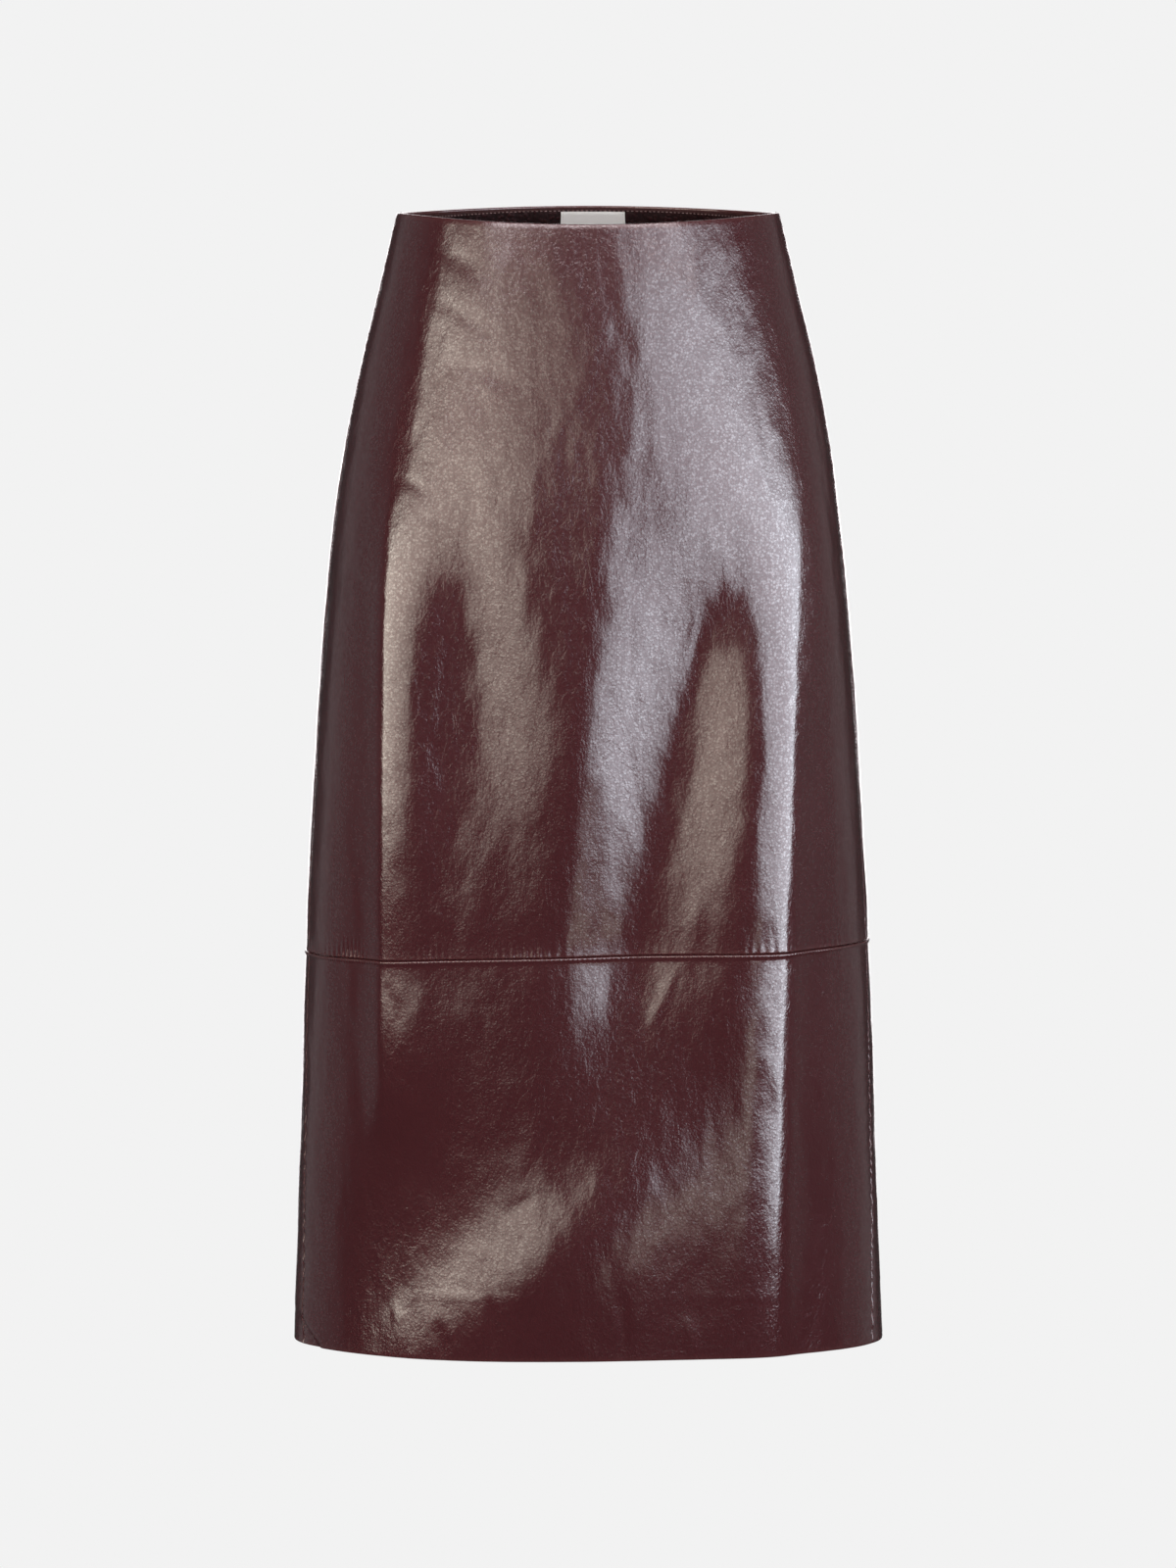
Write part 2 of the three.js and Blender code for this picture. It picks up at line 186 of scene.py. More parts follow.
def fold_lift(folds, x, drop):
    """How far the folds and the seam's tuck lift the leather at each place."""
    past_seam = drop - CROSS_SEAM
    tuck_reach = np.where(past_seam < 0, TUCK_ABOVE, TUCK_BELOW)
    lift = -SEAM_TUCK * np.exp(-((past_seam / tuck_reach) ** 2))
    for row in folds:
        fold = dict(zip(FOLD_COLUMNS, row))
        start = np.array((fold["from_x"], fold["from_drop"]))
        run = np.array((fold["to_x"], fold["to_drop"])) - start
        length = np.linalg.norm(run)
        run = run / length
        along = (x - start[0]) * run[0] + (drop - start[1]) * run[1]
        across = (x - start[0]) * run[1] - (drop - start[1]) * run[0]
        opened = fold["opens"] + (1 - fold["opens"]) * np.clip(along / length, 0, 1)
        width = opened * np.where(across < 0, fold["reach_minus"], fold["reach_plus"])
        rise, sink = smooth(along / fold["fade_in"]), smooth((length - along) / fold["fade_out"])
        lift = lift + fold["height"] * rise * sink * np.exp(-((across / width) ** 2))
    return lift


# %% [markdown]
# ## Small relief that only the leather's outside has
# Near the seams the stitches gather the leather into short puckers, the turned-up hem prints through as a faint
# ledge, and wear leaves a few thin creases. The whole hide is softly uneven too, where it was handled. All of
# it is small lifts along the surface's own normal. The unevenness is smooth noise, the same on every run.

# %% Small relief
HANDLING = (
    (0.00042, Vector((0.030, 0.030, 0.075))),
    (0.00024, Vector((0.010, 0.010, 0.022))),
)
PUCKER_HEIGHT, PUCKER_PITCH, PUCKER_REACH = 0.00060, 0.0046, 0.0050
BEAD_HEIGHT, BEAD_PITCH, BEAD_REACH = 0.00075, 0.0026, 0.0013
SIDE_PUCKER_HEIGHT, SIDE_PUCKER_PITCH, SIDE_PUCKER_REACH = 0.00060, 0.0085, 0.009
HEM_ALLOWANCE, LEDGE_HEIGHT, LEDGE_REACH = 0.041, 0.00016, 0.0026
GIRTH_PER_RADIAN = 0.155

CREASE_COLUMNS = ("from_x", "from_drop", "to_x", "to_drop", "reach", "height")
FRONT_CREASES = [
    (-0.160, 0.226, -0.138, 0.247, 0.0030, -0.00060),
    (-0.128, 0.012, -0.060, 0.046, 0.0060, -0.00040),
    (-0.118, 0.048, -0.052, 0.088, 0.0050, -0.00030),
    (-0.100, 0.096, -0.030, 0.118, 0.0060, -0.00030),
    (0.000, 0.010, 0.005, 0.080, 0.0030, 0.00010),
    (0.026, 0.256, 0.023, 0.308, 0.0014, -0.00030),
    (-0.126, 0.168, -0.096, 0.186, 0.0030, -0.00040),
    (-0.112, 0.194, -0.074, 0.206, 0.0026, -0.00035),
    (-0.086, 0.170, -0.044, 0.196, 0.0028, -0.00030),
    (-0.060, 0.212, -0.040, 0.246, 0.0050, -0.00020),
    (0.052, 0.148, 0.104, 0.176, 0.0070, -0.00020),
    (0.060, 0.184, 0.098, 0.214, 0.0050, -0.00018),
    (0.108, 0.128, 0.118, 0.190, 0.0030, -0.00040),
    (0.070, 0.246, 0.060, 0.292, 0.0028, 0.00030),
    (0.058, 0.478, 0.034, 0.530, 0.0030, 0.00040),
    (-0.128, 0.492, -0.118, 0.534, 0.0030, -0.00040),
    (-0.104, 0.440, -0.084, 0.470, 0.0026, 0.00035),
    (-0.060, 0.650, -0.024, 0.628, 0.0040, -0.00030),
    (0.074, 0.590, 0.086, 0.640, 0.0060, -0.00014),
    (0.128, 0.560, 0.136, 0.610, 0.0026, -0.00035),
    (-0.064, 0.690, -0.061, 0.742, 0.0040, -0.00090),
    (-0.124, 0.700, -0.118, 0.738, 0.0050, 0.00040),
    (-0.096, 0.712, -0.090, 0.744, 0.0040, -0.00070),
    (-0.034, 0.706, -0.036, 0.740, 0.0050, 0.00035),
    (0.018, 0.686, 0.022, 0.742, 0.0035, -0.00080),
    (0.062, 0.706, 0.066, 0.744, 0.0040, 0.00060),
    (0.094, 0.728, 0.097, 0.738, 0.0020, 0.00035),
]
BACK_CREASES = [
    (-0.110, 0.030, -0.050, 0.070, 0.0050, -0.00035),
    (0.118, 0.040, 0.056, 0.086, 0.0055, -0.00035),
    (-0.030, 0.250, -0.060, 0.272, 0.0032, -0.00045),
    (0.028, 0.246, 0.066, 0.262, 0.0030, -0.00045),
    (-0.086, 0.300, -0.110, 0.330, 0.0028, -0.00035),
    (0.096, 0.300, 0.120, 0.318, 0.0030, -0.00035),
    (0.010, 0.400, 0.016, 0.450, 0.0024, 0.00035),
    (-0.128, 0.500, -0.112, 0.548, 0.0030, 0.00035),
    (0.060, 0.520, 0.092, 0.560, 0.0032, -0.00040),
    (-0.020, 0.600, -0.052, 0.636, 0.0030, -0.00035),
]


def handling(points):
    """Soft unevenness in metres, drawn out down the skirt."""
    lift = 0
    for height, size in HANDLING:
        spots = [(p[0] / size.x, p[1] / size.y, p[2] / size.z) for p in points.reshape(-1, 3)]
        lift = lift + height * np.array([noise.noise(spot) for spot in spots])
    return lift


def crease_lift(creases, x, drop):
    """Thin creases: each runs straight from one place to another, deepest at its middle."""
    lift = 0 * x
    for row in creases:
        crease = dict(zip(CREASE_COLUMNS, row))
        start = np.array((crease["from_x"], crease["from_drop"]))
        run = np.array((crease["to_x"], crease["to_drop"])) - start
        length = np.linalg.norm(run)
        run = run / length
        along = ((x - start[0]) * run[0] + (drop - start[1]) * run[1]) / length
        across = (x - start[0]) * run[1] - (drop - start[1]) * run[0] - 0.05 * length * np.sin(math.pi * along)
        taper = smooth(along * 2.5) * smooth((1 - along) * 2.5)
        lift = lift + crease["height"] * taper * np.exp(-((across / crease["reach"]) ** 2))
    return lift


def small_relief(angle, drop, points):
    around = angle * GIRTH_PER_RADIAN
    above = cross_seam_drop(angle) - drop
    lift = handling(points)
    gathered = 0.35 + 0.65 * smooth((-points[..., 0] - 0.01) / 0.09)
    uneven = gathered * np.clip(0.3 + np.sin(around * 71 + 1.3) * np.sin(around * 29), 0, 1)
    wave = np.sin(2 * math.pi * around / PUCKER_PITCH + 3.0 * np.sin(around * 113))
    lift += np.where(above > 0, PUCKER_HEIGHT * uneven * wave * np.exp(-np.abs(above) / PUCKER_REACH), 0)
    bead = np.abs(np.sin(math.pi * around / BEAD_PITCH))
    rounded = np.exp(-((above + BEAD_REACH) / BEAD_REACH) ** 2)
    lift += np.where(above < 0, BEAD_HEIGHT * (0.7 + 0.3 * bead) * rounded, 0)
    for side in (1, -1):
        from_seam = np.abs(np.arctan2(np.sin(angle - seam_angle(drop, side)), np.cos(angle - seam_angle(drop, side))))
        ripple = np.sin(2 * math.pi * drop / SIDE_PUCKER_PITCH + 2.5 * np.sin(drop * 90 + side))
        strength = 0.35 + 0.65 * smooth((drop - 0.5) / 0.1)
        near = np.exp(-from_seam * GIRTH_PER_RADIAN / SIDE_PUCKER_REACH)
        lift += SIDE_PUCKER_HEIGHT * strength * ripple * near
    ledge = (LENGTH - HEM_ALLOWANCE - drop) / LEDGE_REACH
    lift += LEDGE_HEIGHT * (0.5 + 0.5 * np.sin(around * 47)) * np.exp(-(ledge ** 2))
    front = np.sin(angle) > 0
    x = points[..., 0]
    return lift + np.where(front, crease_lift(FRONT_CREASES, x, drop), crease_lift(BACK_CREASES, x, drop))


def leather_points(angle, drop, depth, relief=False):
    """Points of the leather, so far under its outside."""
    points = body_points(angle, drop)
    front = np.sin(angle) > 0
    lift = np.where(front, fold_lift(FRONT_FOLDS, points[..., 0], drop), fold_lift(BACK_FOLDS, points[..., 0], drop))
    if relief:
        lift = lift + small_relief(angle, drop, points)
    return points + outwards(angle, drop) * (lift - depth)[..., None]


print(len(FRONT_CREASES) + len(BACK_CREASES), "creases")

# %% [markdown]
# ## Turned-in edges
# Leather is never left with a raw edge at a waist or a hem. The edge is turned in, hammered flat and glued or
# stitched, so it ends in a small round lip. At a seam each side turns in by a quarter and dives between the two
# panels. One function gives both: how far from the edge line a row lies, and how deep under the outside.

# %% Rolled edges
SKIN = 0.0008
EDGE_RADIUS = LEATHER / 2
EDGE_WEAR_REACH = 0.0012
SEAM_RADIUS = 0.0009


def rolled_edge(radius, turn, tail, tail_steps, arc_steps):
    """Rows from the hidden end of a turned-in edge out to where the flat outside starts, as (inset, depth)."""
    rows = []
    for step in range(tail_steps):
        further = tail * (1 - step / tail_steps)
        if turn > 0.75 * math.pi:
            rows.append((radius + further, 2 * radius))
        else:
            rows.append((0.0, radius + further))
    for step in range(arc_steps + 1):
        left = turn * (1 - step / arc_steps)
        rows.append((radius * (1 - math.sin(left)), radius * (1 - math.cos(left))))
    return rows


TURNED_IN = rolled_edge(EDGE_RADIUS, math.pi, 0.028, 4, 8)
TURNED_UP = rolled_edge(EDGE_RADIUS, math.pi, 0.040, 5, 8)
SEWN_IN = rolled_edge(SEAM_RADIUS, math.pi / 2, 0.0016, 1, 5)
BESIDE_SEAM = SEWN_IN + [(inset, 0.0) for inset in (0.0013, 0.0018, 0.0024, 0.0032, 0.0043, 0.0058, 0.0078)]


def lanes(first_edge, last_edge, middle):
    """Lanes across a panel from one edge to the other: the share of the way, the inset and the depth of each."""
    first, last = np.array(first_edge), np.array(last_edge)[::-1]
    shares = np.linspace(0, 1, middle + 2)[1:-1]
    inset = first[-1, 0] + (last[0, 0] - first[-1, 0]) * shares
    share = np.concatenate([np.zeros(len(first)), shares, np.ones(len(last))])
    return share, np.concatenate([first[:, 0], inset, last[:, 0]]), np.concatenate([first[:, 1], 0 * shares, last[:, 1]])


print("lanes of a turned-in edge:", len(TURNED_IN))

# %% [markdown]
# ## Cutting and placing a panel
# A panel starts as a flat grid, which is what a cut piece of leather is. The grid's columns run round the skirt
# and its rows run down it. Where the stitches pucker the leather, the columns are split again, so that the
# detail costs faces only there. Then each vertex moves to its place on the body, and a Solidify modifier gives
# the skin its thickness towards the inside.

# %% Panels
def grid_mesh(columns, rows, fine_rows, cuts):
    """A flat grid with u to the right and v upwards, whose columns are split again in the fine rows."""
    grid = bmesh.new()
    bmesh.ops.create_grid(grid, x_segments=columns, y_segments=rows, size=0.5)
    low, high = fine_rows
    level = [
        edge for edge in grid.edges
        if abs(edge.verts[0].co.y - edge.verts[1].co.y) < 1e-6
        and low - 0.01 < (0.5 - edge.verts[0].co.y) * rows < high + 0.01
    ]
    if cuts:
        bmesh.ops.subdivide_edges(grid, edges=level, cuts=cuts, use_grid_fill=True)
    return grid


def place_vertices(mesh, place):
    """Moves every vertex of a flat grid. For its u to the right and its v downwards, place gives the points and
    how near each is to an edge, which is kept as an attribute for the finish."""
    flat = np.zeros(len(mesh.vertices) * 3)
    mesh.vertices.foreach_get("co", flat)
    flat = flat.reshape(-1, 3)
    points, near_edge = place(flat[:, 0] + 0.5, 0.5 - flat[:, 1])
    mesh.vertices.foreach_set("co", points.ravel())
    mesh.attributes.new("near_edge", "FLOAT", "POINT").data.foreach_set("value", near_edge)
    mesh.update()


def cloth_piece(name, grid, place, thickness, materials):
    mesh = bpy.data.meshes.new(name)
    grid.to_mesh(mesh)
    grid.free()
    place_vertices(mesh, place)
    mesh.shade_smooth()
    piece = bpy.data.objects.new(name, mesh)
    bpy.context.scene.collection.objects.link(piece)
    for material in materials:
        mesh.materials.append(material)
    wall = piece.modifiers.new("thickness", "SOLIDIFY")
    wall.thickness = thickness
    wall.offset = -1
    wall.material_offset = len(materials) - 1
    wall.material_offset_rim = 0
    return piece


def side_stretch(drop, side):
    """Metres along the surface for each radian of angle, at a side seam."""
    angle = seam_angle(drop, side)
    step = 0.01
    return np.linalg.norm(body_points(angle + step, drop) - body_points(angle - step, drop), axis=-1) / (2 * step)


def panel(name, is_front, top, bottom, top_edge, bottom_edge, columns, rows, fine_rows, cuts, materials):
    across_share, across_inset, across_depth = lanes(SEWN_IN, SEWN_IN, columns)
    down_share, down_inset, down_depth = lanes(top_edge, bottom_edge, rows)
    column_count, row_count = len(across_share) - 1, len(down_share) - 1

    def place(u, v):
        column, row = u * column_count, v * row_count
        share = np.interp(column, np.arange(column_count + 1), across_share)
        side_inset = np.interp(column, np.arange(column_count + 1), across_inset) + SEAM_GAP / 2
        down = np.interp(row, np.arange(row_count + 1), down_share)
        inset = np.interp(row, np.arange(row_count + 1), down_inset)
        depth = np.maximum(
            np.interp(column, np.arange(column_count + 1), across_depth),
            np.interp(row, np.arange(row_count + 1), down_depth),
        )
        drop = np.full_like(u, LENGTH / 2)
        for _ in range(3):
            if is_front:
                start = seam_angle(drop, -1) - side_inset / side_stretch(drop, -1)
                end = seam_angle(drop, 1) + side_inset / side_stretch(drop, 1)
            else:
                start = 2 * math.pi + seam_angle(drop, 1) - side_inset / side_stretch(drop, 1)
                end = seam_angle(drop, -1) + side_inset / side_stretch(drop, -1)
            angle = start + (end - start) * share
            drop = (1 - down) * (top(angle) + inset) + down * (bottom(angle) - inset)
        to_edge = np.minimum(np.abs(top(angle) - drop), np.abs(bottom(angle) - drop))
        near_edge = np.maximum(np.exp(-to_edge / EDGE_WEAR_REACH), np.clip(depth / EDGE_RADIUS, 0, 1))
        return leather_points(angle, drop, depth, relief=True), near_edge

    grid = grid_mesh(column_count, row_count, fine_rows(row_count), cuts)
    return cloth_piece(name, grid, place, SKIN, materials)


# %% [markdown]
# ## Finishes
# The leather is dyed right through and finished with a glossy top coat. Its colour is very dark, and nearly all
# that the eye sees is reflection, broken by the grain and by soft wrinkles.

# %% Node helpers
def new_material(name):
    material = bpy.data.materials.new(name)
    material.use_nodes = True
    tree = material.node_tree
    return material, tree, tree.nodes["Principled BSDF"]


def add_node(tree, kind, inputs=None, **settings):
    node = tree.nodes.new(kind)
    for key, value in settings.items():
        setattr(node, key, value)
    for key, value in (inputs or {}).items():
        socket = node.inputs[key]
        if isinstance(value, bpy.types.NodeSocket):
            tree.links.new(value, socket)
        else:
            socket.default_value = value
    return node


def group_tree(name, inputs, outputs):
    """A new node group with (name, type, default) inputs and (name, type) outputs."""
    tree = bpy.data.node_groups.new(name, "ShaderNodeTree")
    for label, kind, default in inputs:
        socket = tree.interface.new_socket(name=label, in_out="INPUT", socket_type=kind)
        if default is not None:
            socket.default_value = default
    for label, kind in outputs:
        tree.interface.new_socket(name=label, in_out="OUTPUT", socket_type=kind)
    return tree, tree.nodes.new("NodeGroupInput"), tree.nodes.new("NodeGroupOutput")


def use_group(tree, group, inputs):
    node = tree.nodes.new("ShaderNodeGroup")
    node.node_tree = group
    for key, value in inputs.items():
        socket = node.inputs[key]
        if isinstance(value, bpy.types.NodeSocket):
            tree.links.new(value, socket)
        else:
            socket.default_value = value
    return node


def colour_mix(tree, factor, first, second):
    """A colour between two others, by a factor. Each is a socket or red, green and blue."""
    colours = [value if isinstance(value, bpy.types.NodeSocket) else (*value, 1) for value in (first, second)]
    node = add_node(tree, "ShaderNodeMix", {"Factor": factor, 6: colours[0], 7: colours[1]}, data_type="RGBA")
    return node.outputs[2]


def value_range(tree, value, low, high, from_low=0.0, from_high=1.0):
    node = add_node(tree, "ShaderNodeMapRange", {
        "Value": value, "From Min": from_low, "From Max": from_high, "To Min": low, "To Max": high,
    })
    return node.outputs[0]


def bump_in_millimetres(tree, shader, height, strength=1.0):
    bump = add_node(tree, "ShaderNodeBump", {"Height": height, "Distance": 0.001, "Strength": strength})
    tree.links.new(bump.outputs[0], shader.inputs["Normal"])


# %% Grain group
def grain_group():
    """Leather grain: small plump cells, thin flexing lines that come in patches, and a soft unevenness.
    Depths are in millimetres, sizes in metres. Pit and Line are masks of the low places."""
    tree, source, result = group_tree(
        "leather_grain",
        [
            ("Vector", "NodeSocketVector", None),
            ("Cell Size", "NodeSocketFloat", 0.0017),
            ("Cell Depth", "NodeSocketFloat", 0.055),
            ("Line Size", "NodeSocketFloat", 0.012),
            ("Line Depth", "NodeSocketFloat", 0.03),
            ("Swell Size", "NodeSocketFloat", 0.007),
            ("Swell Depth", "NodeSocketFloat", 0.40),
        ],
        [("Height", "NodeSocketFloat"), ("Pit", "NodeSocketFloat"), ("Line", "NodeSocketFloat")],
    )
    vector = source.outputs["Vector"]

    def math_node(operation, first, second):
        return add_node(tree, "ShaderNodeMath", {0: first, 1: second}, operation=operation).outputs[0]

    def at_size(size):
        per = math_node("DIVIDE", 1.0, source.outputs[size])
        return add_node(tree, "ShaderNodeVectorMath", {0: vector, "Scale": per}, operation="SCALE").outputs[0]

    def step(value, start, end):
        node = add_node(tree, "ShaderNodeMapRange", {"Value": value, "From Min": start, "From Max": end})
        node.interpolation_type = "SMOOTHSTEP"
        return node.outputs[0]

    cells_at = at_size("Cell Size")
    shaken = add_node(tree, "ShaderNodeTexNoise", {"Vector": cells_at, "Scale": 0.6, "Detail": 2.0})
    moved = add_node(
        tree, "ShaderNodeVectorMath",
        {0: shaken.outputs["Color"], 1: (0.6, 0.6, 0.6), 2: cells_at}, operation="MULTIPLY_ADD",
    )
    cells = add_node(tree, "ShaderNodeTexVoronoi", {"Vector": moved.outputs[0], "Scale": 1.0, "Randomness": 0.9})
    worn_flat = add_node(tree, "ShaderNodeTexNoise", {"Vector": cells_at, "Scale": 0.62, "Detail": 2.0})
    speckled = value_range(tree, step(worn_flat.outputs["Fac"], 0.42, 0.60), 0.35, 1.0)
    plump = math_node("MULTIPLY", step(cells.outputs["Distance"], 0.72, 0.18), speckled)
    drawn = add_node(tree, "ShaderNodeMapping", {"Vector": at_size("Line Size"), "Scale": (1.0, 1.0, 0.5)})
    flow = add_node(
        tree, "ShaderNodeTexNoise",
        {"Vector": drawn.outputs[0], "Scale": 1.0, "Detail": 2.5, "Roughness": 0.55, "Distortion": 0.8},
    )
    beside_line = math_node("ABSOLUTE", math_node("SUBTRACT", flow.outputs["Fac"], 0.5), 0.0)
    flexed = add_node(
        tree, "ShaderNodeTexNoise", {"Vector": at_size("Line Size"), "Scale": 0.24, "Detail": 1.5}
    )
    in_patch = step(flexed.outputs["Fac"], 0.44, 0.60)
    line = math_node("MULTIPLY", math_node("SUBTRACT", 1.0, step(beside_line, 0.0, 0.035)), in_patch)
    hung = add_node(tree, "ShaderNodeMapping", {"Vector": at_size("Swell Size"), "Scale": (1.0, 1.0, 0.6)})
    swell = add_node(
        tree, "ShaderNodeTexNoise",
        {"Vector": hung.outputs[0], "Scale": 1.0, "Detail": 3.0, "Roughness": 0.6, "Distortion": 0.5},
    )
    height = math_node("MULTIPLY", plump, source.outputs["Cell Depth"])
    sunk = math_node("MULTIPLY", line, source.outputs["Line Depth"])
    risen = math_node("MULTIPLY", swell.outputs["Fac"], source.outputs["Swell Depth"])
    height = math_node("ADD", math_node("SUBTRACT", height, sunk), risen)
    tree.links.new(height, result.inputs["Height"])
    tree.links.new(math_node("SUBTRACT", 1.0, plump), result.inputs["Pit"])
    tree.links.new(line, result.inputs["Line"])
    return tree


GRAIN = grain_group()
print("grain group with", len(GRAIN.nodes), "nodes")

# %% [markdown]
# ## Gloss leather
# The shine has two layers, as on the real hide: the leather's own shine follows the grain, and a clear coat over
# it is thinner in the pits between the grain's cells, so a highlight looks finely speckled. At the worn edges
# the colour is a little redder and duller.

# %% Gloss leather
def gloss_leather():
    material, tree, shader = new_material("gloss_leather")
    place = add_node(tree, "ShaderNodeTexCoord").outputs["Object"]
    grain = use_group(tree, GRAIN, {"Vector": place})
    patchy = add_node(tree, "ShaderNodeTexNoise", {"Vector": place, "Scale": 9.0, "Detail": 4.0}).outputs["Fac"]
    near_edge = add_node(tree, "ShaderNodeAttribute", attribute_name="near_edge").outputs["Fac"]
    hide = colour_mix(tree, patchy, (0.052, 0.0105, 0.0130), (0.066, 0.0135, 0.0165))
    worn = colour_mix(tree, value_range(tree, near_edge, 0.0, 0.7), hide, (0.105, 0.028, 0.028))
    tree.links.new(worn, shader.inputs["Base Color"])
    dull = value_range(tree, patchy, 0.15, 0.21)
    rough = add_node(tree, "ShaderNodeMath", {0: near_edge, 1: 0.12, 2: dull}, operation="MULTIPLY_ADD")
    tree.links.new(rough.outputs[0], shader.inputs["Roughness"])
    shader.inputs["Specular IOR Level"].default_value = 0.28
    tree.links.new(value_range(tree, grain.outputs["Pit"], 1.0, 0.25), shader.inputs["Coat Weight"])
    shader.inputs["Coat Roughness"].default_value = 0.13
    bump_in_millimetres(tree, shader, grain.outputs["Height"])
    return material


def flesh_side():
    """The soft back of the leather, which shows inside the skirt."""
    material, tree, shader = new_material("flesh_side")
    place = add_node(tree, "ShaderNodeTexCoord").outputs["Object"]
    nap = add_node(
        tree, "ShaderNodeTexNoise", {"Vector": place, "Scale": 260.0, "Detail": 5.0, "Roughness": 0.7}
    ).outputs["Fac"]
    tree.links.new(colour_mix(tree, nap, (0.040, 0.013, 0.015), (0.085, 0.030, 0.033)), shader.inputs["Base Color"])
    tree.links.new(value_range(tree, nap, 0.95, 0.8), shader.inputs["Roughness"])
    bump_in_millimetres(tree, shader, value_range(tree, nap, 0.0, 0.25))
    return material


GLOSS = gloss_leather()
FLESH = flesh_side()
print("materials", GLOSS.name, FLESH.name)

# %% Front and back panels
FINE_ABOVE_SEAM, FINE_BELOW_SEAM = 15, 12


def rows_above_seam(row_count):
    return row_count - FINE_ABOVE_SEAM, row_count


def rows_below_seam(row_count):
    return 0, FINE_BELOW_SEAM


def hem_drop(angle):
    return LENGTH + 0 * angle


def above_cross_seam(angle):
    return cross_seam_drop(angle) - SEAM_GAP / 2


def below_cross_seam(angle):
    return cross_seam_drop(angle) + SEAM_GAP / 2


PANELS = [
    dict(name="front_upper_leather", node="front_upper_panel", is_front=True, upper=True, columns=200, rows=150),
    dict(name="front_lower_leather", node="front_lower_panel", is_front=True, upper=False, columns=200, rows=90),
    dict(name="back_upper_leather", node="back_upper_panel", is_front=False, upper=True, columns=180, rows=130),
    dict(name="back_lower_leather", node="back_lower_panel", is_front=False, upper=False, columns=180, rows=80),
]
for cut in PANELS:
    upper = cut["upper"]
    piece = panel(
        cut["name"], cut["is_front"],
        top=waist_drop if upper else below_cross_seam,
        bottom=above_cross_seam if upper else hem_drop,
        top_edge=TURNED_IN if upper else BESIDE_SEAM,
        bottom_edge=BESIDE_SEAM if upper else TURNED_UP,
        columns=cut["columns"], rows=cut["rows"],
        fine_rows=rows_above_seam if upper else rows_below_seam, cuts=2 if upper else 4,
        materials=[GLOSS, FLESH],
    )
    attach(piece, "skirt")
    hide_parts(cut["node"])
    print(piece.name, len(piece.data.polygons), "faces")

# %% [markdown]
# ## The cut of each piece
# Each piece was a flat pattern before it was sewn: as wide as its widest row and as long as it is down its
# middle, with the turned-in edges laid flat again. Its own area is smaller than that rectangle, because the
# sides taper. Leather hardly stretches, so the area on the body is the area that was cut. No cell lays it out.


# %% [markdown]
# ## Inside the waist
# The back of the waist opening shows, so it is finished: a facing of pebbled leather lies on the turned-in edge,
# with a row of small stitches under its rim, and a bare woven label is sewn to it. Both are thin sheets, made as
# the panels are, from a grid that is moved onto the inside of the back.

# %% Facing and label
GAP = 0.0003
FACING_THICKNESS, FACING_HEIGHT, FACING_BELOW_EDGE = 0.0008, 0.034, 0.0012
LABEL_THICKNESS, LABEL_WIDTH, LABEL_HEIGHT = 0.0005, 0.043, 0.018
LABEL_BELOW_EDGE, LABEL_OFF_CENTRE = 0.004, 0.0033
TAPE_THICKNESS, TAPE_HALF_WIDTH, TAPE_BELOW_EDGE, TAPE_LENGTH = 0.0008, 0.012, 0.002, 0.205
LABEL_DEPTH = LEATHER + GAP + FACING_THICKNESS + GAP


def beside_seam(drop, side, towards_front):
    """The angle of a place beside a side seam, so far along the surface towards the front."""
    from_side = np.radians(section_at(drop, "seam_degrees")) + towards_front / section_at(drop, "front")
    return from_side if side > 0 else math.pi - from_side


def back_waist_angle(x):
    return 1.5 * math.pi + np.arcsin(x / SECTIONS[0, 1])


def plain_grid(columns, rows):
    grid = bmesh.new()
    bmesh.ops.create_grid(grid, x_segments=columns, y_segments=rows, size=0.5)
    return grid


def edge_share(u, v, width, height, reach):
    """How near a place of a small sheet is to its edges, from 0 to 1."""
    to_edge = np.minimum(np.minimum(u, 1 - u) * width, np.minimum(v, 1 - v) * height)
    return np.exp(-to_edge / reach)


def place_facing(u, v):
    drop = 0.5 * FACING_HEIGHT + 0 * u
    for _ in range(3):
        start = 2 * math.pi + beside_seam(drop, 1, -TAPE_HALF_WIDTH - GAP)
        end = beside_seam(drop, -1, -GAP)
        angle = start + (end - start) * u
        drop = waist_drop(angle) + FACING_BELOW_EDGE + (FACING_HEIGHT - FACING_BELOW_EDGE) * v
    swelling = 0.00012 * (1 + np.sin(angle * 31) * np.sin(drop * 310))
    depth = LEATHER + GAP + swelling
    return leather_points(angle, drop, depth), edge_share(u, v, 0.3, FACING_HEIGHT, 0.0010)


def place_label(u, v):
    x = LABEL_OFF_CENTRE + LABEL_WIDTH * (0.5 - u)
    angle = back_waist_angle(x)
    drop = waist_drop(angle) + LABEL_BELOW_EDGE + LABEL_HEIGHT * v
    free_edge = 0.0009 * v ** 3 * (0.6 + 0.4 * np.sin(u * 5 + 0.5))
    return leather_points(angle, drop, LABEL_DEPTH + free_edge), edge_share(u, v, LABEL_WIDTH, LABEL_HEIGHT, 0.0008)
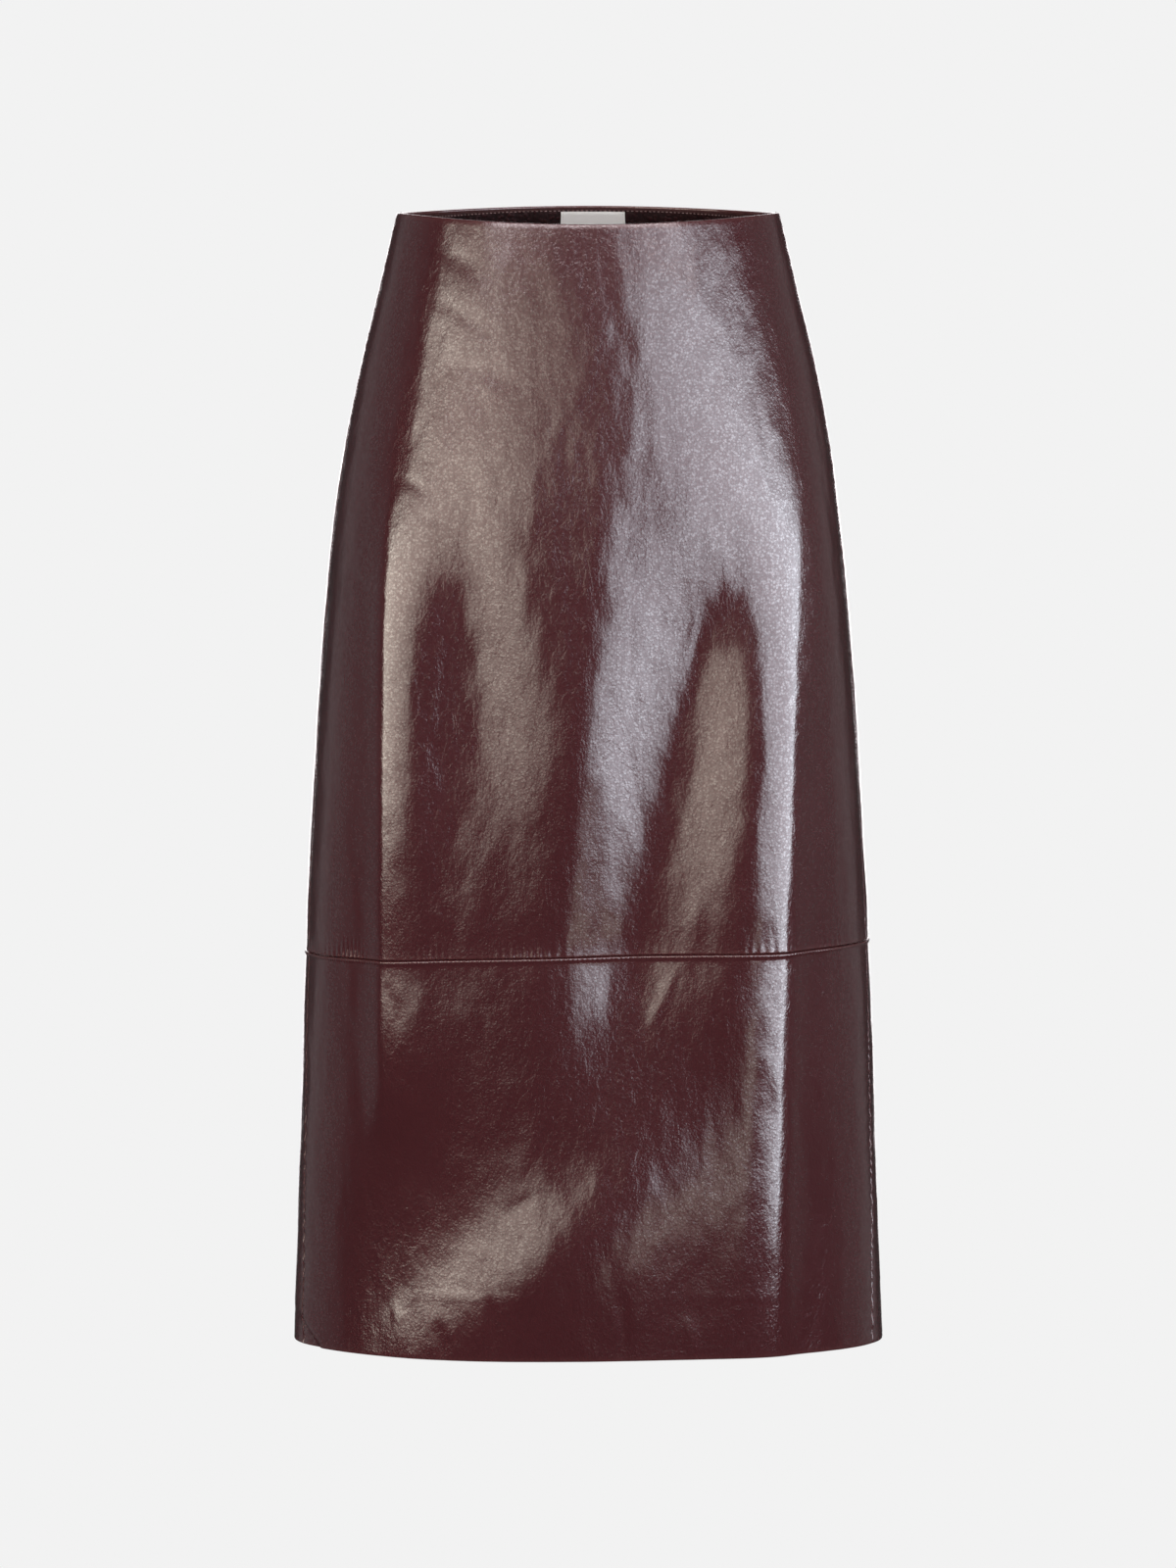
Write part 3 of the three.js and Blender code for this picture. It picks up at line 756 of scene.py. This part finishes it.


# %% [markdown]
# The facing's grain is pebbled: larger, deeper cells than the outside has, and less shine, and its pits are painted
# darker as shade. The label is satin
# woven: its threads lie close side by side, and their crowns are painted lighter than the gaps, a painted sheen in fine
# lines.

# %% Facing leather and label cloth
def facing_leather():
    material, tree, shader = new_material("facing_leather")
    place = add_node(tree, "ShaderNodeTexCoord").outputs["Object"]
    grain = use_group(tree, GRAIN, {
        "Vector": place, "Cell Size": 0.0026, "Cell Depth": 0.35, "Line Size": 0.006, "Line Depth": 0.16,
        "Swell Size": 0.005, "Swell Depth": 0.35,
    })
    near_edge = add_node(tree, "ShaderNodeAttribute", attribute_name="near_edge").outputs["Fac"]
    # Pebble grain colour with painted shade: the pits between the cells are painted darker, the cells keep the facing's
    # own dark red.
    pebbled = colour_mix(tree, grain.outputs["Pit"], (0.026, 0.0070, 0.0078), (0.009, 0.0030, 0.0033))
    rim = colour_mix(tree, value_range(tree, near_edge, 0.0, 0.5), pebbled, (0.090, 0.030, 0.028))
    tree.links.new(rim, shader.inputs["Base Color"])
    tree.links.new(value_range(tree, grain.outputs["Pit"], 0.36, 0.6), shader.inputs["Roughness"])
    shader.inputs["Specular IOR Level"].default_value = 0.05
    bump_in_millimetres(tree, shader, grain.outputs["Height"])
    return material


def thread_lines(tree, place, axis, per_metre):
    """Close threads across one axis, as a value from 0 between them to 1 on their crowns."""
    split = add_node(tree, "ShaderNodeSeparateXYZ", {0: place})
    turns = add_node(
        tree, "ShaderNodeMath", {0: split.outputs[axis], 1: per_metre * math.pi}, operation="MULTIPLY"
    )
    wave = add_node(tree, "ShaderNodeMath", {0: turns.outputs[0]}, operation="SINE")
    return add_node(tree, "ShaderNodeMath", {0: wave.outputs[0]}, operation="ABSOLUTE").outputs[0]


def label_cloth():
    material, tree, shader = new_material("label_cloth")
    place = add_node(tree, "ShaderNodeTexCoord").outputs["Object"]
    weft = thread_lines(tree, place, "Z", 3300)
    warp = thread_lines(tree, place, "X", 2100)
    weave = add_node(tree, "ShaderNodeMath", {0: warp, 1: 0.45, 2: weft}, operation="MULTIPLY_ADD").outputs[0]
    soiled = add_node(tree, "ShaderNodeTexNoise", {"Vector": place, "Scale": 120.0, "Detail": 4.0}).outputs["Fac"]
    # Painted sheen and shade: the thread crowns are painted lighter and the gaps between the threads darker, over the
    # label's own pale colour.
    cloth = colour_mix(tree, value_range(tree, weave, 0.0, 1.0, 0.0, 1.45), (0.66, 0.62, 0.60), (0.86, 0.82, 0.80))
    tree.links.new(colour_mix(tree, value_range(tree, soiled, 0.0, 0.35), cloth, (0.62, 0.57, 0.55)),
                   shader.inputs["Base Color"])
    tree.links.new(value_range(tree, weave, 0.85, 0.6, 0.0, 1.45), shader.inputs["Roughness"])
    shader.inputs["Sheen Weight"].default_value = 0.15
    bump_in_millimetres(tree, shader, value_range(tree, weave, 0.0, 0.05, 0.0, 1.45))
    return material


FACING = facing_leather()
LABEL = label_cloth()
facing = cloth_piece("back_facing", plain_grid(170, 16), place_facing, FACING_THICKNESS, [FACING])
label = cloth_piece("woven_label", plain_grid(64, 28), place_label, LABEL_THICKNESS, [LABEL])
for piece, node, slot in (
    (facing, "back_waist_facing", "facing_leather"),
    (label, "waist_label", "label_cloth"),
):
    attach(piece, "skirt")
    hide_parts(node)

# %% [markdown]
# ## Stitches
# A machine stitch shows as a short, plump bit of thread between two needle holes. One sphere, stretched along
# the seam and flattened against the cloth, is enough for each, and a row of them is one mesh. The thread is in
# the leather's colour, so the rows show as fine dots.

# %% Stitch rows
THREAD_RADIUS = 0.00022


def thread_material(name, dark, light):
    material, tree, shader = new_material(name)
    place = add_node(tree, "ShaderNodeTexCoord").outputs["Object"]
    twist = add_node(tree, "ShaderNodeTexNoise", {"Vector": place, "Scale": 2600.0, "Detail": 2.0}).outputs["Fac"]
    tree.links.new(colour_mix(tree, twist, dark, light), shader.inputs["Base Color"])
    tree.links.new(value_range(tree, twist, 0.45, 0.7), shader.inputs["Roughness"])
    bump_in_millimetres(tree, shader, value_range(tree, twist, 0.0, 0.03))
    return material


def stitch_row(name, points, normals, pitch, radius, material, fill=0.72):
    """One stitch at each point, along the row, sunk by half into the surface under it."""
    rows = bmesh.new()
    along = np.gradient(points, axis=0)
    for point, run, normal in zip(points, along, normals):
        run, normal = Vector(run).normalized(), Vector(normal)
        side = normal.cross(run).normalized()
        normal = run.cross(side)
        turn = Matrix((run, side, normal)).transposed().to_4x4()
        size = Matrix.Diagonal((fill * pitch / 2, radius, 0.8 * radius, 1))
        place = Matrix.Translation(Vector(point)) @ turn @ size
        bmesh.ops.create_uvsphere(rows, u_segments=6, v_segments=4, radius=1, matrix=place)
    mesh = bpy.data.meshes.new(name)
    rows.to_mesh(mesh)
    rows.free()
    mesh.shade_smooth()
    mesh.materials.append(material)
    piece = bpy.data.objects.new(name, mesh)
    bpy.context.scene.collection.objects.link(piece)
    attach(piece, "skirt")
    print(name, len(points), "stitches")
    return piece


THREAD = thread_material("oxblood_thread", (0.060, 0.016, 0.018), (0.130, 0.040, 0.040))
PALE_THREAD = thread_material("rim_thread", (0.17, 0.085, 0.078), (0.30, 0.17, 0.16))
LABEL_THREAD = thread_material("label_thread", (0.38, 0.35, 0.34), (0.60, 0.56, 0.55))

SIDE_PITCH = 0.0023
SIDE_STITCH_OFF = 0.0017
for side, hand in ((1, "left"), (-1, "right")):
    drops = np.arange(0.010, LENGTH - 0.004, SIDE_PITCH)
    angles = seam_angle(drops, side) + side * SIDE_STITCH_OFF / side_stretch(drops, side)
    normals = outwards(angles, drops)
    points = leather_points(angles, drops, 0 * drops, relief=True)
    stitch_row("side_stitches_" + hand, points, normals, SIDE_PITCH, THREAD_RADIUS, THREAD)

RIM_PITCH = 0.0026
rim_angles = np.arange(beside_seam(0.004, -1, -0.003), 2 * math.pi + beside_seam(0.004, 1, -0.014), RIM_PITCH / 0.105)
rim_drops = waist_drop(rim_angles) + FACING_BELOW_EDGE + 0.0022
rim_points = leather_points(rim_angles, rim_drops, LEATHER + GAP + FACING_THICKNESS + 0.00015 + 0 * rim_angles)
stitch_row(
    "rim_stitches", rim_points, -outwards(rim_angles, rim_drops), RIM_PITCH, 0.00028, PALE_THREAD,
)

LABEL_PITCH = 0.0015
for end in (1, -1):
    rows = np.arange(0.0012, LABEL_HEIGHT - 0.0010, LABEL_PITCH) / LABEL_HEIGHT
    u = 0.5 + end * (0.5 - 0.0013 / LABEL_WIDTH) + 0 * rows
    x = LABEL_OFF_CENTRE + LABEL_WIDTH * (0.5 - u)
    angles = back_waist_angle(x)
    points = place_label(u, rows)[0]
    normals = -outwards(angles, -points[:, 2])
    points = points + normals * LABEL_THICKNESS
    name = "label_stitches_" + ("minus" if end > 0 else "plus")
    stitch_row(name, points, normals, LABEL_PITCH, 0.00013, LABEL_THREAD)

# %% [markdown]
# ## The zip
# A concealed zip closes the seam at the wearer's left. From the outside only the seam shows. Inside there is a
# woven tape, the coil that closes it, a stop at its lower end, and the metal slider with its pull.

# %% Zip tape and coil
COIL_PITCH, COIL_WIDTH, COIL_RADIUS = 0.0013, 0.0045, 0.00055
COIL_TOP, COIL_FOOT = 0.0152, 0.200
TAPE_FACE = LEATHER + GAP + TAPE_THICKNESS


def place_tape(u, v):
    drop = TAPE_BELOW_EDGE + (TAPE_LENGTH - TAPE_BELOW_EDGE) * v
    angle = beside_seam(drop, 1, TAPE_HALF_WIDTH * (2 * u - 1))
    return leather_points(angle, drop, LEATHER + GAP + 0 * u), edge_share(u, v, 0.024, TAPE_LENGTH, 0.0012)


def tape_cloth():
    """A herringbone tape: slanting threads that turn back at the middle of each band."""
    material, tree, shader = new_material("zip_tape")
    place = add_node(tree, "ShaderNodeTexCoord").outputs["Object"]
    bands = add_node(tree, "ShaderNodeSeparateXYZ", {0: place})
    zigzag = add_node(tree, "ShaderNodeMath", {0: bands.outputs["Y"], 1: 0.003}, operation="PINGPONG")
    slanted = add_node(tree, "ShaderNodeMath", {0: bands.outputs["Z"], 1: zigzag.outputs[0]}, operation="ADD")
    turns = add_node(tree, "ShaderNodeMath", {0: slanted.outputs[0], 1: 1500 * math.pi}, operation="MULTIPLY")
    wave = add_node(tree, "ShaderNodeMath", {0: turns.outputs[0]}, operation="SINE")
    weave = value_range(tree, wave.outputs[0], 0.0, 1.0, -1.0, 1.0)
    tree.links.new(colour_mix(tree, weave, (0.018, 0.006, 0.007), (0.050, 0.016, 0.018)), shader.inputs["Base Color"])
    tree.links.new(value_range(tree, weave, 0.95, 0.75), shader.inputs["Roughness"])
    shader.inputs["Sheen Weight"].default_value = 0.2
    bump_in_millimetres(tree, shader, value_range(tree, weave, 0.0, 0.10))
    return material


TAPE = tape_cloth()
tape = cloth_piece("zip_tape_cloth", plain_grid(26, 130), place_tape, TAPE_THICKNESS, [TAPE])
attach(tape, "skirt")
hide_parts("side_zip_tape")

coil_drops = np.arange(COIL_TOP, COIL_FOOT, COIL_PITCH)
coil_angles = beside_seam(coil_drops, 1, 0)
coil_normals = -outwards(coil_angles, coil_drops)
coil_points = leather_points(coil_angles, coil_drops, TAPE_FACE + COIL_RADIUS + 0 * coil_drops)
coil = bmesh.new()
for point, normal, run in zip(coil_points, coil_normals, np.gradient(coil_points, axis=0)):
    run, normal = Vector(run).normalized(), Vector(normal)
    across = normal.cross(run).normalized()
    turn = Matrix((across, run, across.cross(run))).transposed().to_4x4()
    size = Matrix.Diagonal((COIL_WIDTH / 2, 0.42 * COIL_PITCH, COIL_RADIUS, 1))
    place = Matrix.Translation(Vector(point)) @ turn @ size
    bmesh.ops.create_uvsphere(coil, u_segments=8, v_segments=6, radius=1, matrix=place)
stop_place = Matrix.Translation(Vector(coil_points[-1]) - Vector((0, 0, 2 * COIL_PITCH))) @ turn
stop_size = Matrix.Diagonal((0.0056, 0.0026, 0.0016, 1))
stop = bmesh.ops.create_cube(coil, size=1, matrix=stop_place @ stop_size)
stop_edges = list({edge for vert in stop["verts"] for edge in vert.link_edges})
bmesh.ops.bevel(coil, geom=stop_edges, offset=0.0004, segments=3, profile=0.5, affect="EDGES", material=-1)
coil_mesh = bpy.data.meshes.new("zip_coil")
coil.to_mesh(coil_mesh)
coil.free()
coil_mesh.shade_smooth()
COIL = thread_material("coil_nylon", (0.030, 0.010, 0.012), (0.055, 0.018, 0.020))
coil_mesh.materials.append(COIL)
zip_coil = bpy.data.objects.new("zip_coil", coil_mesh)
bpy.context.scene.collection.objects.link(zip_coil)
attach(zip_coil, "skirt")
print("coil of", len(coil_drops), "turns")

TAPE_STITCH_IN, TAPE_PITCH = 0.0085, 0.0028
for towards, label_of in ((TAPE_STITCH_IN, "front"), (-TAPE_STITCH_IN, "back")):
    drops = np.arange(0.006, TAPE_LENGTH - 0.004, TAPE_PITCH)
    angles = beside_seam(drops, 1, towards)
    points = leather_points(angles, drops, TAPE_FACE + 0 * drops)
    stitch_row(
        "tape_stitches_" + label_of, points, -outwards(angles, drops), TAPE_PITCH, 0.0002, THREAD,
    )

# %% [markdown]
# ## Slider and pull
# The slider and its pull are hard pieces with the right shape already, so they keep the frame's meshes and only
# get their finish: dark satin metal, brushed down its length, with fine scratches that vary the shine.

# %% Zip metal
def zip_metal():
    material, tree, shader = new_material("zip_metal")
    place = add_node(tree, "ShaderNodeTexCoord").outputs["Object"]
    drawn = add_node(tree, "ShaderNodeMapping", {"Vector": place, "Scale": (9000.0, 9000.0, 350.0)})
    brushed = add_node(
        tree, "ShaderNodeTexNoise", {"Vector": drawn.outputs[0], "Scale": 1.0, "Detail": 3.0}
    ).outputs["Fac"]
    worn = add_node(tree, "ShaderNodeTexNoise", {"Vector": place, "Scale": 420.0, "Detail": 4.0}).outputs["Fac"]
    metal = colour_mix(tree, worn, (0.24, 0.22, 0.20), (0.40, 0.375, 0.35))
    tree.links.new(metal, shader.inputs["Base Color"])
    tree.links.new(value_range(tree, brushed, 0.24, 0.46), shader.inputs["Roughness"])
    shader.inputs["Metallic"].default_value = 1.0
    bump_in_millimetres(tree, shader, value_range(tree, brushed, 0.0, 0.006))
    return material


METAL = zip_metal()
for node in ("zip_slider", "zip_pull"):
    for slot in nodes[node].material_slots:
        slot.material = METAL
    print(node, "is finished in", METAL.name)

# %% [markdown]
# ## The studio
# The background is one pale grey. Two big soft lights make the gloss: a warm one from the left and a cool one
# from the right. They are cards that only reflections see, so the even light that shows the leather's colour
# comes from the world.

# %% World and stage
PALE = 0.888
FLOOR_DROP, FLOOR_HALF = 1.19, 12.0
LEAN_FROM = 0.25


def studio_world():
    world = bpy.data.worlds.new("studio")
    bpy.context.scene.world = world
    world.use_nodes = True
    tree = world.node_tree
    background = tree.nodes["Background"]
    background.inputs["Color"].default_value = (1, 1, 1, 1)
    path = add_node(tree, "ShaderNodeLightPath")
    seen = add_node(tree, "ShaderNodeMix", {
        "Factor": path.outputs["Is Glossy Ray"], 2: 0.62, 3: 0.045,
    }, data_type="FLOAT")
    strength = add_node(tree, "ShaderNodeMix", {
        "Factor": path.outputs["Is Camera Ray"], 2: seen.outputs[0], 3: PALE,
    }, data_type="FLOAT")
    tree.links.new(strength.outputs[0], background.inputs["Strength"])


def pale_floor():
    """A wide floor in the background's own colour, so that no line shows where it ends."""
    grid = bmesh.new()
    bmesh.ops.create_grid(grid, x_segments=1, y_segments=1, size=FLOOR_HALF)
    bmesh.ops.translate(grid, verts=grid.verts, vec=(0, 0, -FLOOR_DROP))
    mesh = bpy.data.meshes.new("pale_floor")
    grid.to_mesh(mesh)
    grid.free()
    floor = bpy.data.objects.new("pale_floor", mesh)
    bpy.context.scene.collection.objects.link(floor)
    material, tree, shader = new_material("pale_floor")
    shader.inputs["Base Color"].default_value = (0.8, 0.8, 0.8, 1)
    shader.inputs["Roughness"].default_value = 0.9
    seen = add_node(tree, "ShaderNodeEmission", {"Color": (1, 1, 1, 1), "Strength": PALE})
    by_ray = add_node(tree, "ShaderNodeMixShader", {
        "Fac": add_node(tree, "ShaderNodeLightPath").outputs["Is Camera Ray"],
        1: shader.outputs["BSDF"],
        2: seen.outputs[0],
    })
    tree.links.new(by_ray.outputs[0], tree.nodes["Material Output"].inputs["Surface"])
    mesh.materials.append(material)
    floor.visible_glossy = False


def light_card(
    name, azimuth, half, low, high, blur, inner, outer, colour, low_slant=0.0, slant=0.0, lean=(0.0, 0.0), distance=2.0,
):
    """A soft card that only reflections see, upright at an azimuth from the front, its edges fading over blur.
    A slant tilts its upper or lower edge, and a lean draws in its inner and outer edges for each metre down."""
    side_blur, low_blur, high_blur = blur
    grid = bmesh.new()
    bmesh.ops.create_grid(grid, x_segments=6, y_segments=12, size=0.5, calc_uvs=False)
    uv_layer = grid.loops.layers.uv.new("card")
    turn = math.radians(azimuth)
    along = Vector((math.cos(turn), math.sin(turn), 0))
    middle = Vector((math.sin(turn), -math.cos(turn), 0)) * distance
    reach = half + side_blur / 2
    for face in grid.faces:
        for loop in face.loops:
            loop[uv_layer].uv = (loop.vert.co.x + 0.5, loop.vert.co.y + 0.5)
    inner_side = 1 if azimuth < 0 else -1
    for vert in grid.verts:
        sideways, upwards = 2 * vert.co.x, vert.co.y + 0.5
        bottom = low + low_slant * sideways - low_blur / 2
        top = high + slant * sideways + high_blur / 2
        height = bottom + (top - bottom) * upwards
        inwards = 0.5 + 0.5 * sideways * inner_side
        moved = min(0.0, height - LEAN_FROM) * (lean[0] * inwards - lean[1] * (1 - inwards)) * inner_side
        vert.co = middle + along * (sideways * reach + moved) + Vector((0, 0, height))
    mesh = bpy.data.meshes.new(name)
    grid.to_mesh(mesh)
    grid.free()
    card = bpy.data.objects.new(name, mesh)
    bpy.context.scene.collection.objects.link(card)
    material = bpy.data.materials.new(name)
    material.use_nodes = True
    tree = material.node_tree
    tree.nodes.remove(tree.nodes["Principled BSDF"])
    place = add_node(tree, "ShaderNodeTexCoord")
    split = add_node(tree, "ShaderNodeSeparateXYZ", {0: place.outputs["UV"]})
    height = high - low + (low_blur + high_blur) / 2

    def ramp(value, start, end):
        node = add_node(tree, "ShaderNodeMapRange", {"Value": value, "From Min": start, "From Max": end})
        node.interpolation_type = "SMOOTHSTEP"
        return node.outputs[0]

    across, upward = split.outputs["X"], split.outputs["Y"]
    fades = [
        ramp(across, 0.0, side_blur / (2 * reach)),
        ramp(across, 1.0, 1 - side_blur / (2 * reach)),
        ramp(upward, 0.0, low_blur / height),
        ramp(upward, 1.0, 1 - high_blur / height),
    ]
    towards_back = add_node(tree, "ShaderNodeMapRange", {
        "Value": across,
        "To Min": outer if azimuth < 0 else inner,
        "To Max": inner if azimuth < 0 else outer,
    })
    strength = towards_back.outputs[0]
    for fade in fades:
        strength = add_node(tree, "ShaderNodeMath", {0: strength, 1: fade}, operation="MULTIPLY").outputs[0]
    glow = add_node(tree, "ShaderNodeEmission", {"Color": (*colour, 1), "Strength": strength})
    clear = add_node(tree, "ShaderNodeBsdfTransparent")
    added = add_node(tree, "ShaderNodeAddShader", {0: glow.outputs[0], 1: clear.outputs[0]})
    tree.links.new(added.outputs[0], tree.nodes["Material Output"].inputs["Surface"])
    mesh.materials.append(material)
    card.visible_camera = False
    card.visible_diffuse = False
    card.visible_transmission = False
    card.visible_shadow = False
    return card


def label_light():
    """A soft light over the front edge of the waist, which reaches the label inside. Reflections don't see it."""
    light = bpy.data.lights.new("label_light", "AREA")
    light.shape = "DISK"
    light.size = 0.9
    light.energy = 22
    lamp = bpy.data.objects.new("label_light", light)
    bpy.context.scene.collection.objects.link(lamp)
    lamp.location = (0.2, -2.2, 0.95)
    lamp.rotation_euler = (Vector((0, 0, 0)) - lamp.location).to_track_quat("-Z", "Y").to_euler()
    lamp.visible_glossy = False


WARM = (4.7, 4.4, 3.8)
COOL = (6.1, 6.55, 7.2)
NEUTRAL = (4.4, 4.1, 4.2)
studio_world()
pale_floor()
label_light()
light_card("warm_left", -37, 1.34, -0.62, 0.74, (0.26, 0.40, 1.00), 0.58, 2.6, WARM, lean=(0.42, 0.2))
light_card(
    "cool_right", 50.5, 1.76, -0.88, 0.80, (0.22, 0.16, 0.60), 0.74, 2.3, COOL,
    low_slant=-0.20, slant=-0.55, lean=(0.25, 1.2),
)
light_card("warm_low", 17, 0.14, -1.00, -0.84, (0.20, 0.12, 0.12), 0.8, 0.8, WARM)
light_card("top_soft", 0, 1.7, 1.20, 2.60, (0.60, 0.30, 0.40), 2.4, 2.4, NEUTRAL)
light_card("side_left", -112, 0.9, -1.3, 0.9, (0.60, 0.40, 0.40), 0.06, 0.06, NEUTRAL)
light_card("side_right", 112, 0.9, -1.3, 0.9, (0.60, 0.40, 0.40), 0.06, 0.06, NEUTRAL)
light_card("back_soft", 180, 0.55, -0.90, 1.30, (0.25, 0.40, 0.60), 0.9, 0.9, NEUTRAL)

bpy.context.scene.view_settings.view_transform = "Standard"
